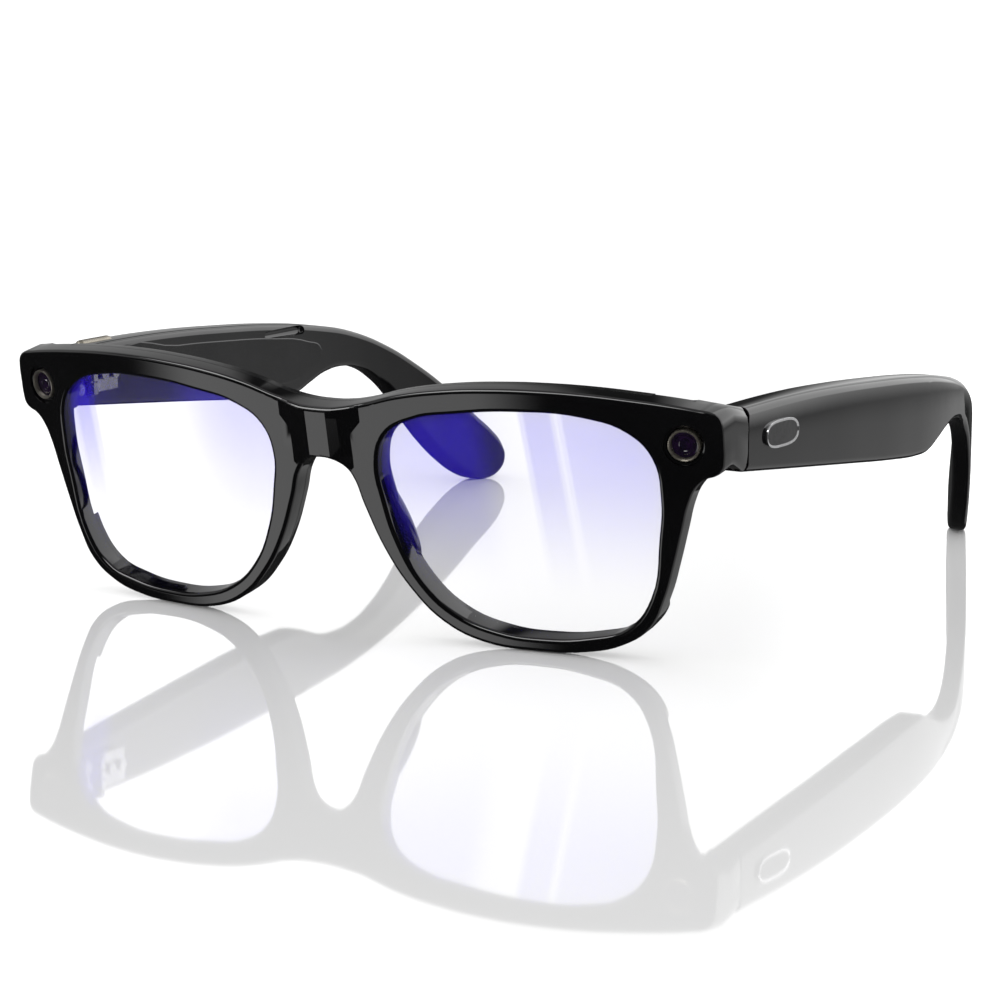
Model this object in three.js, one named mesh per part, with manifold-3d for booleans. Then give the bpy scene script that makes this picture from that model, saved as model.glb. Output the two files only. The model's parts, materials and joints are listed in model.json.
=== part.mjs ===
import * as THREE from 'three'
import { mergeVertices } from 'three/addons/utils/BufferGeometryUtils.js'
import Module from 'manifold-3d'

const wasm = await Module()
wasm.setup()

// Smart glasses, in millimetres. +X is the wearer's left, +Y runs back along the temples and
// +Z is up. They stand open on the lower rims and the temple tips, which touch z = 0.
const fitGap = 0.3
const forwardTilt = THREE.MathUtils.degToRad(9.744)
const faceCurve = 0.00188 // the front face recedes by faceCurve * u * u
const restCentreY = 69.3 // middle of the length, put at the origin
const restHeight = 0.2 // lifts the drawn outlines so that the lowest points touch z = 0
const shellDepth = 3.3
const coverFront = shellDepth + fitGap
const coverBack = coverFront + 1.3
const lensFront = 1.5
const lensBack = 3.3
const lensLip = 0.8 // how far the lens reaches under the rim
const jointY = 12.5 // plane between end piece and temple
const hingeX = 62.6
const hingeY = 13.5
const barrelRadius = 1.5
const bossBottom = 31.6
const bossTop = 42
const eyeU = 64.1 // centre of the camera and of the lamp on the face
const eyeV = 36.1
const templeWall = 1.3
const templeCover = 1.1
const sides = { left: 1, right: -1 }

// The face outlines in the plane of the front: u sideways, v up. The wearer's left half is
// given, and the right half is its mirror image.
const apertureOutline = [
  [36, 40.9], [48, 40.2], [55, 37.8], [58.6, 33.8], [59.6, 27], [58.9, 20], [56.8, 9.6],
  [52.6, 4.3], [46, 2.3], [38, 1.7], [30, 2.4], [22.5, 5.1], [17, 10], [13.2, 17],
  [11.2, 24.5], [10.5, 30.5], [12.3, 35.4], [17, 38.4], [26, 40.1]
]
const lowerOutline = [
  [0, 30.9], [3.2, 30.1], [5.2, 28], [7, 23], [10.4, 15], [14.6, 8.6], [20, 3.4], [27, 0.3],
  [37, -0.65], [45, -0.35], [51.5, 1.2], [56.5, 4.6], [59, 9.4], [61, 15.5], [62.7, 21.5],
  [64, 26], [65.7, 29], [69, 31]
]
const upperOutline = [
  [70, 41.2], [64, 42.4], [56, 43.6], [48, 44.4], [40, 44.75], [33, 44.7], [24, 44.1],
  [15, 42.7], [8, 40.8], [4, 40.1], [0, 39.9]
]
const flexRoute = [
  [0, 35.9], [9, 38], [16, 40.4], [24, 42.2], [32, 43.2], [40, 43.3], [48, 42.8], [55, 41.4],
  [59.9, 39.2]
]

// The temple seen from its side: y back, z up, from the joint over the ear to the tip and back.
const templeOutline = [
  [jointY + 0.15, 42.1], [30, 42.1], [45, 41.6], [61, 40.6], [80, 39], [95, 37.1],
  [106, 34.8], [116, 31], [124, 26.2], [131.5, 20.3], [138, 14], [142, 10.3], [144.6, 7],
  [145.4, 3.9], [144, 1.3], [140.7, -0.15], [138, 0.1], [134.8, 1.6], [131, 4.6], [126.4, 9.4],
  [122, 15], [118, 20.3], [114, 24], [109, 26.8], [103, 27.9], [97, 27.4], [91.5, 25.7],
  [87, 24.3], [82, 24.2], [70, 25.2], [50, 27.4], [30, 29.6], [jointY + 0.15, 31.6]
]
const coverOutline = [
  [25, 39.4], [45, 39], [61, 38], [78, 36.5], [90, 34.6], [95, 32.4], [94.4, 30], [90, 28.2],
  [86, 27.1], [80, 26.9], [70, 27.7], [50, 29.8], [30, 32], [25, 32.6], [24, 36]
]
// Outer face of the temple and its thickness, both against y.
const outerFace = new THREE.CubicInterpolant(
  [12, 30, 50, 70, 85, 95, 105, 112, 119, 126, 134, 141.5, 147],
  [70.5, 71.3, 71.9, 72, 71.6, 70.9, 69.6, 68.2, 66.2, 63.4, 59.8, 56.5, 54.2],
  1
)
const templeThickness = new THREE.CubicInterpolant(
  [12, 30, 60, 85, 112, 125, 147],
  [6, 6.3, 6.2, 5.6, 4.2, 3.8, 4],
  1
)

const finish = (color, roughness, metalness) =>
  new THREE.MeshStandardMaterial({ color, roughness, metalness })

// Booleans ------------------------------------------------------------------------------

function bare(geometry) {
  const copy = geometry.clone()
  copy.deleteAttribute('normal')
  copy.deleteAttribute('uv')
  copy.clearGroups()
  return mergeVertices(copy, 1e-4)
}

function solidOf(geometry) {
  const shared = bare(geometry)
  const vertProperties = new Float32Array(shared.attributes.position.array)
  const triVerts = new Uint32Array(shared.index.array)
  return new wasm.Manifold(new wasm.Mesh({ numProp: 3, vertProperties, triVerts }))
}

function geometryOf(solid) {
  const { numProp, vertProperties, triVerts } = solid.getMesh()
  const geometry = new THREE.BufferGeometry()
  const position = new THREE.BufferAttribute(new Float32Array(vertProperties), numProp)
  geometry.setAttribute('position', position)
  geometry.setIndex(new THREE.BufferAttribute(new Uint32Array(triVerts), 1))
  geometry.computeVertexNormals()
  return geometry
}

const fold = (first, others, step) =>
  geometryOf(others.reduce((solid, other) => step(solid, solidOf(other)), solidOf(first)))
const join = (first, ...others) => fold(first, others, (a, b) => a.add(b))
const cut = (first, ...others) => fold(first, others, (a, b) => a.subtract(b))
const common = (first, ...others) => fold(first, others, (a, b) => a.intersect(b))

function mirrored(geometry) {
  const flipped = bare(geometry)
  flipped.scale(-1, 1, 1)
  const index = flipped.index.array
  for (let i = 0; i < index.length; i += 3) {
    const corner = index[i]
    index[i] = index[i + 1]
    index[i + 1] = corner
  }
  flipped.computeVertexNormals()
  return flipped
}

const onSide = (geometry, side) => (side > 0 ? geometry : mirrored(geometry))

// Outlines ------------------------------------------------------------------------------

const vectors = (points) => points.map(([a, b]) => new THREE.Vector2(a, b))

function smooth(points, count) {
  return new THREE.SplineCurve(vectors(points)).getPoints(count)
}

function smoothLoop(points, count) {
  const ring = points.map(([a, b]) => new THREE.Vector3(a, b, 0))
  const loop = new THREE.CatmullRomCurve3(ring, true, 'centripetal')
  return loop.getPoints(count).slice(0, -1).map(({ x, y }) => new THREE.Vector2(x, y))
}

// Moves a closed outline outwards by a distance, whichever way it runs.
function grown(outline, distance) {
  const turn = THREE.ShapeUtils.isClockWise(outline) ? -1 : 1
  return outline.map((point, i) => {
    const before = outline.at(i - 1)
    const after = outline[(i + 1) % outline.length]
    const along = after.clone().sub(before).normalize()
    return new THREE.Vector2(point.x + turn * distance * along.y, point.y - turn * distance * along.x)
  })
}

function frontOutline() {
  const lower = smooth(lowerOutline, 34)
  const upper = smooth(upperOutline, 20)
  const half = [...lower, ...upper.slice(0, -1)]
  const otherHalf = half.slice(1).map(({ x, y }) => new THREE.Vector2(-x, y))
  return [...half, upper.at(-1), ...otherHalf.reverse()]
}

const box = (x0, x1, y0, y1, z0, z1) =>
  new THREE.BoxGeometry(x1 - x0, y1 - y0, z1 - z0)
    .translate((x0 + x1) / 2, (y0 + y1) / 2, (z0 + z1) / 2)

// An upright cylinder, and one that lies along X.
const post = (radius, x, y, z0, z1, sidesRound = 16) =>
  new THREE.CylinderGeometry(radius, radius, z1 - z0, sidesRound)
    .rotateX(Math.PI / 2)
    .translate(x, y, (z0 + z1) / 2)
const peg = (radius, x0, x1, y, z, sidesRound = 12) =>
  new THREE.CylinderGeometry(radius, radius, x1 - x0, sidesRound)
    .rotateZ(Math.PI / 2)
    .translate((x0 + x1) / 2, y, z)

// Front pieces: x = u, y = w (back through the front), z = v ------------------------------

function throughFront(outline, front = -4, back = 22) {
  return new THREE.ExtrudeGeometry(new THREE.Shape(outline), {
    depth: back - front,
    bevelEnabled: false
  })
    .rotateX(Math.PI / 2)
    .translate(0, back, 0)
}

function faceSheet(front, back) {
  const sheet = new THREE.BoxGeometry(150, back - front, 60, 32, 1, 1)
  sheet.translate(0, (front + back) / 2, 22)
  const { position } = sheet.attributes
  for (let i = 0; i < position.count; i += 1) {
    const u = position.getX(i)
    position.setY(i, position.getY(i) + faceCurve * u * u)
  }
  return sheet
}

const apertureLoop = smoothLoop(apertureOutline, 40)
const facePlate = (outline, front, back) => common(faceSheet(front, back), throughFront(outline))

function lensOpening(side, growth, front, back) {
  const loop = grown(apertureLoop, growth)
  const sheet = faceSheet(front, back)
  return onSide(common(sheet, throughFront(loop)), side)
}

// World geometry brought into the tilted group of the front.
const intoFront = (geometry) => geometry.rotateX(-forwardTilt)

// The end piece behind each corner of the front, which carries the hinge.
function boss(side, growth = 0) {
  const plan = new THREE.Shape(vectors([
    [70.1 + growth, 4.6 - growth], [70.5 + growth, jointY - 0.15 + growth],
    [64.3 - growth, jointY - 0.15 + growth], [64.3 - growth, 8 + growth],
    [58 - growth, 7 + growth], [58 - growth, 4.2 - growth]
  ]))
  const block = new THREE.ExtrudeGeometry(plan, {
    depth: bossTop - bossBottom + 2 * growth,
    bevelEnabled: false
  }).translate(0, 0, bossBottom - growth)
  return intoFront(onSide(bare(block), side))
}

// A piece turned round the optical axis of the camera or lamp: profile of [radius, depth].
function turned(profile, side, segments = 20) {
  const piece = new THREE.LatheGeometry(vectors(profile), segments)
  piece.rotateZ(side * Math.atan(2 * faceCurve * eyeU))
  return piece.translate(side * eyeU, faceCurve * eyeU * eyeU, eyeV)
}

const eyeBore = (side) => turned([
  [0, -3], [3.4, -3], [3.4, 0.45], [3.05, 0.45], [3.05, 2.4], [3.4, 2.4], [3.4, 5], [0, 5]
], side)

function flexStrip(halfWidth, front, back) {
  const half = new THREE.SplineCurve(vectors(flexRoute))
  const steps = 16
  const edge = (offset) => half.getPoints(steps).map((point, i) => {
    const along = half.getTangent(i / steps)
    return new THREE.Vector2(point.x - along.y * offset, point.y + along.x * offset)
  })
  const right = (points) => points.slice(1).map(({ x, y }) => new THREE.Vector2(-x, y)).reverse()
  const low = edge(-halfWidth)
  const high = edge(halfWidth)
  const outline = [...right(low), ...low, ...right(high).concat(high).reverse()]
  return facePlate(outline, front, back)
}

function frontShell() {
  const plate = facePlate(frontOutline(), 0, shellDepth)
  const bosses = Object.values(sides).map((side) => boss(side))
  const tools = Object.values(sides).flatMap((side) => [
    lensOpening(side, 0, -3, 6),
    lensOpening(side, lensLip + fitGap, lensFront - fitGap, 6),
    eyeBore(side),
    intoFront(onSide(peg(0.8, 63, 67.4, 9.9, 35), side)),
    intoFront(onSide(peg(0.8, 63, 67.4, 9.9, 39), side))
  ])
  tools.push(flexStrip(0.85, shellDepth - 1.2, 6))
  tools.push(box(-2.1, 2.1, shellDepth - 1.8, 6, 32.2, 34.6))
  return cut(join(plate, ...bosses), ...tools)
}

// Nose pads are part of the rear cover: a raised swelling beside each side of the nose.
function nosePad(side) {
  const pad = new THREE.SphereGeometry(1, 16, 12)
  pad.scale(3, 2.1, 8.4)
  pad.rotateY(THREE.MathUtils.degToRad(-24))
  pad.rotateZ(THREE.MathUtils.degToRad(14))
  pad.translate(9.7, coverBack + 0.1, 19.5)
  return onSide(common(pad, throughFront(grown(smoothLoop([
    [5.7, 28.6], [7.3, 23.5], [10.7, 15.3], [13.4, 10.9], [16.5, 11.5], [13.4, 17], [11.4, 24.5],
    [10.6, 30.4]
  ], 40), 0.1), coverFront + 0.2, 16)), side)
}

function rearCover() {
  const plate = facePlate(frontOutline(), coverFront, coverBack)
  const pads = Object.values(sides).map(nosePad)
  const tools = Object.values(sides).flatMap((side) => [
    lensOpening(side, 0, -3, 20),
    boss(side, fitGap),
    box(side > 0 ? 1.4 : -4.4, side > 0 ? 4.4 : -1.4, coverFront - 1, 8, 34.1, 36.5)
  ])
  return cut(join(plate, ...pads), ...tools)
}

const lens = (side) => lensOpening(side, lensLip, lensFront, lensBack)

const eyeRing = (side, inner) => turned([
  [inner, 0.5], [inner + 0.25, 0.05], [2.6, 0.05], [2.7, 0.3], [2.7, 2.1], [inner, 2.1],
  [inner, 0.5]
], side)
const eyeWindow = (side, radius) => turned([[0, 0.7], [radius, 0.7], [radius, 1.2], [0, 1.2]], side)
const cameraModule = (side) => turned([
  [0, 1.5], [1.7, 1.5], [1.7, 2.7], [3.05, 2.7], [3.05, 4.1], [2.5, 4.7], [0, 4.7]
], side)
const lampModule = (side) => turned([
  [0, 1.5], [1.9, 1.5], [1.9, 2.7], [3.05, 2.7], [3.05, 4.3], [0, 4.3]
], side)
const contactPad = (side) => {
  const middle = side * 2.9
  return box(middle - 1.2, middle + 1.2, coverBack - 0.8, coverBack + 0.2, 34.4, 36.2)
}
const noseMicrophone = () => box(-1.75, 1.75, shellDepth - 1.5, shellDepth - 0.1, 32.5, 34.3)

// Hinge ---------------------------------------------------------------------------------

const knuckle = (z0, z1) => post(barrelRadius, hingeX, hingeY, z0, z1)
const screwBore = () => post(0.9, hingeX, hingeY, 30, 44)

function frontLeaf() {
  const plate = box(62.7, 64, 8.4, 11.6, 33.8, 40.2)
  const tabs = [
    box(62.7, 64, 11.4, hingeY, 33.8, 36),
    box(62.7, 64, 11.4, hingeY, 38, 40.2)
  ]
  const body = join(plate, ...tabs, knuckle(33.8, 36), knuckle(38, 40.2))
  return cut(body, screwBore(), peg(0.8, 62, 65, 9.9, 35), peg(0.8, 62, 65, 9.9, 39))
}

const leafScrew = (x, y, z, length) =>
  join(peg(1.05, x - 0.95, x - 0.3, y, z), peg(0.5, x - 0.4, x + length, y, z, 12))

function hingeScrew() {
  const slot = box(hingeX - 2, hingeX + 2, hingeY - 0.2, hingeY + 0.2, 40.95, 42)
  const body = join(post(0.6, hingeX, hingeY, 33.4, 40.6), post(1.25, hingeX, hingeY, 40.5, 41.3))
  return cut(body, slot)
}

function templeLeaf() {
  const plate = box(63, 64.2, 15.4, 22.4, 33.8, 40.2)
  const tab = box(63, 64.2, hingeY, 15.6, 36.3, 37.7)
  const body = join(plate, tab, knuckle(36.3, 37.7))
  return cut(body, screwBore(), peg(0.8, 62, 65, 17.6, 37), peg(0.8, 62, 65, 20.8, 37))
}

// Temple pieces, on the wearer's left ------------------------------------------------------

function throughTemple(outline) {
  const turn = new THREE.Matrix4().makeBasis(
    new THREE.Vector3(0, 1, 0),
    new THREE.Vector3(0, 0, 1),
    new THREE.Vector3(1, 0, 0)
  )
  return new THREE.ExtrudeGeometry(new THREE.Shape(outline), { depth: 60, bevelEnabled: false })
    .applyMatrix4(turn)
    .translate(30, 0, 0)
}

const outerAt = (y) => outerFace.evaluate(y)[0]
const innerAt = (y) => outerAt(y) - templeThickness.evaluate(y)[0]

// A curved sheet between two faces of the temple, each given as a function of y.
function templeSheet(inside, outside, steps = 30) {
  const sheet = new THREE.BoxGeometry(1, 137, 46, 1, steps, 1)
  sheet.translate(0, 79.5, 22)
  const { position } = sheet.attributes
  for (let i = 0; i < position.count; i += 1) {
    const y = position.getY(i)
    position.setX(i, position.getX(i) > 0 ? outside(y) : inside(y))
  }
  return sheet
}

const templePlate = (outline, inside, outside) =>
  common(templeSheet(inside, outside), throughTemple(outline))

const templeLoop = smooth(templeOutline, 72)
const coverLoop = smoothLoop(coverOutline, 40)
const pocketFloor = (y) => outerAt(y) - templeWall
const coverTop = (y) => innerAt(y) + templeCover

function templeBody(isLeft) {
  const whole = templePlate(templeLoop, innerAt, outerAt)
  const pocket = templePlate(grown(coverLoop, fitGap), (y) => innerAt(y) - 3, pocketFloor)
  const bassSlot = templePlate(
    vectors([[75, 38.1], [82, 38], [89, 36.7], [89, 36.2], [82, 37.3], [75, 37.5]]),
    (y) => innerAt(y) - 3,
    (y) => innerAt(y) + 0.7
  )
  const tools = [
    pocket,
    bassSlot,
    box(67, 68.6, 88.6, 92.8, 22, 29.5),
    peg(0.8, 63, 67.2, 17.6, 37),
    peg(0.8, 63, 67.2, 20.8, 37),
    plaqueShape(fitGap, 0.8)
  ]
  if (!isLeft) tools.push(box(66.9, 69.9, 17.1, 27.9, 38.2, 44))
  return cut(whole, ...tools)
}

function templeInnerCover(isLeft) {
  const cover = templePlate(coverLoop, innerAt, coverTop)
  return isLeft ? cut(cover, box(60, 68, 28.1, 33.9, 35.65, 37.35)) : cover
}

function plaqueShape(growth, depth) {
  const oval = new THREE.CylinderGeometry(1, 1, 3, 28).rotateZ(Math.PI / 2)
  oval.scale(1, 5.6 + growth, 2.3 + growth)
  oval.rotateZ(-Math.atan((outerAt(28) - outerAt(19)) / 9))
  oval.translate(outerAt(23.6) - depth + 1.5, 23.6, 36.6)
  return oval
}

const plaque = () => common(plaqueShape(0, 0.5), box(60, outerAt(23.6) + 0.25, 10, 40, 30, 42))

const inPocket = (points, fromCover, fromWall) => templePlate(
  vectors(points),
  (y) => coverTop(y) + fromCover,
  (y) => pocketFloor(y) - fromWall
)
const battery = () => inPocket([[44, 30.9], [84, 27.6], [84, 35], [44, 38.3]], 0.3, 0.3)
const batteryBoard = () => inPocket([[38, 31.6], [43.4, 31], [43.4, 38.2], [38, 38.4]], 0.4, 1.2)
const speaker = () => inPocket([[84.8, 29.7], [91.6, 30.2], [92.6, 33], [84.8, 34.6]], 0.3, 0.3)
const speakerMesh = () => box(67.3, 68.3, 88.9, 92.5, 27.2, 27.9)
const touchSensor = () => inPocket([[28, 33], [62, 29.4], [62, 37.2], [28, 38.8]], 2.6, 0.3)
const mainBoard = () => templePlate(
  vectors([[30, 32.6], [80, 27.7], [80, 35.6], [30, 38.8]]),
  (y) => coverTop(y) + 0.3,
  (y) => coverTop(y) + 1
)
const shieldCan = () => templePlate(
  vectors([[42, 31.9], [70, 29.1], [70, 36.2], [42, 37.9]]),
  (y) => coverTop(y) + 1.3,
  (y) => coverTop(y) + 2.2
)

function powerSwitch() {
  const inner = innerAt(31)
  const knob = box(inner - 0.5, inner + 1.9, 28.4, 31.6, 35.95, 37.05)
  const ribs = [28.95, 29.85, 30.75].map((y) => box(inner - 1, inner - 0.6, y - 0.1, y + 0.4, 35, 38))
  const flange = box(inner + 1.5, inner + 2, 27, 33, 35.2, 37.8)
  return cut(join(knob, flange), ...ribs)
}

const switchBody = () => {
  const inner = innerAt(31)
  return box(inner + 2.3, inner + 4.2, 28, 35.2, 35, 38)
}

function captureButton() {
  const outline = new THREE.Shape()
  outline.absarc(0, -3.8, 1.2, Math.PI, 2 * Math.PI)
  outline.absarc(0, 3.8, 1.2, 0, Math.PI)
  return new THREE.ExtrudeGeometry(outline, {
    depth: 1.8,
    curveSegments: 10,
    bevelSize: 0.2,
    bevelOffset: -0.2,
    bevelThickness: 0.2,
    bevelSegments: 1
  }).translate(68.4, 22.5, 40.7)
}

const tactSwitch = () => join(box(67.2, 69.6, 20.7, 24.3, 38.5, 39.6), box(67.9, 68.9, 21.9, 23.1, 39.5, 39.95))

// Assembly ------------------------------------------------------------------------------

const blackShell = finish('#0b0b0d', 0.12, 0)
const innerShell = finish('#141416', 0.3, 0)
const lensMaterial = finish('#c9c8f4', 0.05, 0)
const ringMetal = finish('#8d8478', 0.3, 0.9)
const steel = finish('#a7a9ac', 0.35, 0.9)
const brass = finish('#c9a45c', 0.35, 0.9)
const darkGlass = finish('#08080c', 0.05, 0)
const board = finish('#1f4a32', 0.6, 0)
const copperFlex = finish('#b0703a', 0.5, 0.2)
const blackPart = finish('#1a1a1c', 0.5, 0)
const silver = finish('#d6d7d9', 0.2, 0.9)

function add(group, name, geometry, material) {
  const { x, y, z } = group.position
  geometry.translate(-x, -y, -z)
  const mesh = new THREE.Mesh(geometry, material)
  mesh.name = name
  group.add(mesh)
}

function frontGroup() {
  const front = new THREE.Group()
  front.rotation.x = forwardTilt
  add(front, 'front_shell', frontShell(), blackShell)
  add(front, 'rear_cover', rearCover(), blackShell)
  add(front, 'brow_flex', flexStrip(0.5, shellDepth - 0.8, shellDepth - 0.45), copperFlex)
  add(front, 'nose_microphone', noseMicrophone(), steel)
  add(front, 'camera_ring', eyeRing(1, 2), ringMetal)
  add(front, 'camera_window', eyeWindow(1, 1.7), darkGlass)
  add(front, 'camera_module', cameraModule(1), blackPart)
  add(front, 'lamp_ring', eyeRing(-1, 2.25), steel)
  add(front, 'lamp_window', eyeWindow(-1, 1.95), darkGlass)
  add(front, 'lamp_module', lampModule(-1), board)
  for (const [word, side] of Object.entries(sides)) {
    add(front, `lens_${word}`, lens(side), lensMaterial)
    add(front, `charge_contact_${word}`, contactPad(side), brass)
  }
  return front
}

function hingeGroup(word, side) {
  const hinge = new THREE.Group()
  add(hinge, `hinge_front_leaf_${word}`, onSide(frontLeaf(), side), steel)
  add(hinge, `hinge_screw_${word}`, onSide(hingeScrew(), side), steel)
  for (const [place, z] of [['lower', 35], ['upper', 39]]) {
    const screw = leafScrew(62.7, 9.9, z, 3.6)
    add(hinge, `front_leaf_screw_${place}_${word}`, onSide(screw, side), steel)
  }
  return hinge
}

function templeGroup(word, side) {
  const temple = new THREE.Group()
  temple.position.set(side * hingeX, hingeY, 0)
  const isLeft = side > 0
  const put = (name, geometry, material) =>
    add(temple, `${name}_${word}`, onSide(geometry, side), material)
  put('temple_shell', templeBody(isLeft), blackShell)
  put('temple_cover', templeInnerCover(isLeft), innerShell)
  put('temple_plaque', plaque(), silver)
  put('hinge_temple_leaf', templeLeaf(), steel)
  put('temple_leaf_screw_front', leafScrew(63, 17.6, 37, 3.4), steel)
  put('temple_leaf_screw_rear', leafScrew(63, 20.8, 37, 3.4), steel)
  put('speaker', speaker(), blackPart)
  put('speaker_mesh', speakerMesh(), steel)
  if (isLeft) {
    put('battery', battery(), silver)
    put('battery_board', batteryBoard(), board)
    put('power_switch', powerSwitch(), blackPart)
    put('switch_body', switchBody(), steel)
  } else {
    put('main_board', mainBoard(), board)
    put('processor_shield', shieldCan(), silver)
    put('touch_sensor', touchSensor(), copperFlex)
    put('capture_button', captureButton(), ringMetal)
    put('button_switch', tactSwitch(), steel)
  }
  return temple
}

const glasses = new THREE.Group()
glasses.position.set(0, -restCentreY, restHeight)
glasses.add(frontGroup())
for (const [word, side] of Object.entries(sides)) {
  glasses.add(hingeGroup(word, side))
  glasses.add(templeGroup(word, side))
}

export default glasses
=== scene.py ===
import json
import math

import bpy
from mathutils import Matrix, Vector


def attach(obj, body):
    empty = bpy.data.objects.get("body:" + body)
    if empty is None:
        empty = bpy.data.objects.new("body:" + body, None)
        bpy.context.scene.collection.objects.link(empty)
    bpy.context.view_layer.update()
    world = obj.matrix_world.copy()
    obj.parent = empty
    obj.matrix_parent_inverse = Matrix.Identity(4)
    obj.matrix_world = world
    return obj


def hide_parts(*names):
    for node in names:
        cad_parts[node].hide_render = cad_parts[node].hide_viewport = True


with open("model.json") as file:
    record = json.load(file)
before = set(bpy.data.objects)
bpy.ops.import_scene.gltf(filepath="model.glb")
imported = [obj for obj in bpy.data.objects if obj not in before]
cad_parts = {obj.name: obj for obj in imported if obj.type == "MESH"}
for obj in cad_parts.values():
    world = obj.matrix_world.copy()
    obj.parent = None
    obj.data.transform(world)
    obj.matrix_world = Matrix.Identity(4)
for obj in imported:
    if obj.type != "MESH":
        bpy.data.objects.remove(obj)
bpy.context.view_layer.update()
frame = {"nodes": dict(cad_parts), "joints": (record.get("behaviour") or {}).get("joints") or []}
nodes = frame["nodes"]
joints = {joint["name"]: joint for joint in frame["joints"]}
print("frame loaded:", len(nodes), "nodes")

# Drawings are in millimetres, laid out from the hinge line; place() brings them into the frame.
mm = 0.001
hingeDrawn = Vector((62.6, 13.5, 37.0))
hingeAt = Vector(joints["left_hinge"]["pos_m"]) / mm
shift = Vector((0, hingeAt.y - hingeDrawn.y, hingeAt.z - hingeDrawn.z))
sides = {"left": 1, "right": -1}

front = {
    "tilt": math.radians(9.744),
    "curve": 0.00188,  # the face falls back by curve * u * u
    "shellDepth": 3.3,
    "coverGap": 0.08,
    "coverDepth": 1.5,
    "rounding": 0.75,
    "shoulderFrom": 58,
    "shoulderDepth": 1.6,
    "bossFrom": 64.3,
    "bossDepth": 8.4,
    "halfWidth": 70.3,
    # The raised bridge: two facets climb from the outer lines to the inner ones, given at two heights.
    "bridge": {
        "outer": ((4.9, 28.5), (7.9, 39)),
        "inner": ((2.0, 31), (2.9, 38)),
        "slope": 0.24,
        "reach": 2,
    },
    "jointY": 12.52,
    "jointLow": 31.6,  # the end piece meets the temple from this height up
    "jointTall": 10.5,
    "aperture": [
        (36, 40.9), (48, 40.2), (55, 37.8), (58.6, 33.8), (59.6, 27), (58.9, 20), (56.8, 9.6),
        (52.6, 4.3), (46, 2.3), (38, 1.7), (30, 2.4), (22.5, 5.1), (17, 10), (13.2, 17),
        (11.2, 24.5), (10.5, 30.5), (12.3, 35.4), (17, 38.4), (26, 40.1),
    ],
    "lower": [
        (0, 30.9), (3.2, 30.1), (5.2, 28), (7, 23), (10.4, 15), (14.6, 8.6), (20, 3.4), (27, 0.3),
        (37, -0.65), (45, -0.35), (51.5, 1.2), (56.5, 4.6), (59, 9.4), (61, 15.5), (62.7, 21.5),
        (64, 26), (65.4, 28.8), (67, 30.3), (68.7, 30.9), (69.8, 31.8), (70.2, 33.4),
    ],
    "upper": [
        (70.3, 36), (70.25, 39), (69.8, 40.6), (68.6, 41.5), (66.5, 42), (62, 42.8), (56, 43.6),
        (48, 44.4), (40, 44.75), (33, 44.7), (24, 44.1), (15, 42.7), (8, 40.8), (4, 40.1),
    ],
    "bossHeights": (31.4, 41.3),
    "crest": (0, 39.9),
    "lensMiddle": (36, 21),
}


def lineAt(ends, level):
    (low, lowLevel), (high, highLevel) = ends
    return low + (high - low) * (level - lowLevel) / (highLevel - lowLevel)


def bridgeRise(co):
    bridge = front["bridge"]
    outer, inner = lineAt(bridge["outer"], co.y), lineAt(bridge["inner"], co.y)
    rise = bridge["slope"] * max(0, min(outer - abs(co.x), outer - inner))
    return rise * max(0, 1 + co.z / bridge["reach"])


def place(point):
    return (point + shift) * mm


def only(piece):
    bpy.ops.object.select_all(action="DESELECT")
    piece.select_set(True)
    bpy.context.view_layer.objects.active = piece


# A filled flat drawing. Each loop is a list of points; a third item marks a sharp corner.
def drawFlat(name, loops, resolution=5):
    sketch = bpy.data.curves.new(name, "CURVE")
    sketch.dimensions = "2D"
    sketch.fill_mode = "FRONT"
    sketch.resolution_u = resolution
    for loop in loops:
        line = sketch.splines.new("BEZIER")
        line.bezier_points.add(len(loop) - 1)
        line.use_cyclic_u = True
        for knot, (x, y, *corner) in zip(line.bezier_points, loop):
            knot.co = (x, y, 0)
            knot.handle_left_type = knot.handle_right_type = "VECTOR" if corner else "AUTO"
    piece = bpy.data.objects.new(name, sketch)
    bpy.context.scene.collection.objects.link(piece)
    only(piece)
    bpy.ops.object.convert(target="MESH")
    piece = bpy.context.view_layer.objects.active
    bpy.ops.object.mode_set(mode="EDIT")
    bpy.ops.mesh.select_all(action="SELECT")
    bpy.ops.mesh.remove_doubles(threshold=0.001)
    bpy.ops.mesh.dissolve_limited(angle_limit=math.radians(0.1), use_dissolve_boundaries=False)
    bpy.ops.object.mode_set(mode="OBJECT")
    return piece


def pushOut(piece, depth):
    only(piece)
    bpy.ops.object.mode_set(mode="EDIT")
    bpy.ops.mesh.select_all(action="SELECT")
    bpy.ops.mesh.extrude_region_move(TRANSFORM_OT_translate={"value": (0, 0, depth)})
    bpy.ops.mesh.select_all(action="SELECT")
    bpy.ops.mesh.normals_make_consistent(inside=False)
    bpy.ops.object.mode_set(mode="OBJECT")


def applyAll(piece):
    only(piece)
    for modifier in list(piece.modifiers):
        bpy.ops.object.modifier_apply(modifier=modifier.name)


def roundEdges(piece, width, segments=4, angle=40):
    bevel = piece.modifiers.new("rounding", "BEVEL")
    bevel.width = width
    bevel.segments = segments
    bevel.limit_method = "ANGLE"
    bevel.angle_limit = math.radians(angle)
    bevel.use_clamp_overlap = False
    bevel.miter_outer = "MITER_ARC"
    applyAll(piece)


def carve(piece, tool, operation="DIFFERENCE"):
    cutter = piece.modifiers.new("carve", "BOOLEAN")
    cutter.operation = operation
    cutter.solver = "EXACT"
    cutter.object = tool
    applyAll(piece)
    bpy.data.objects.remove(tool)


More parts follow.
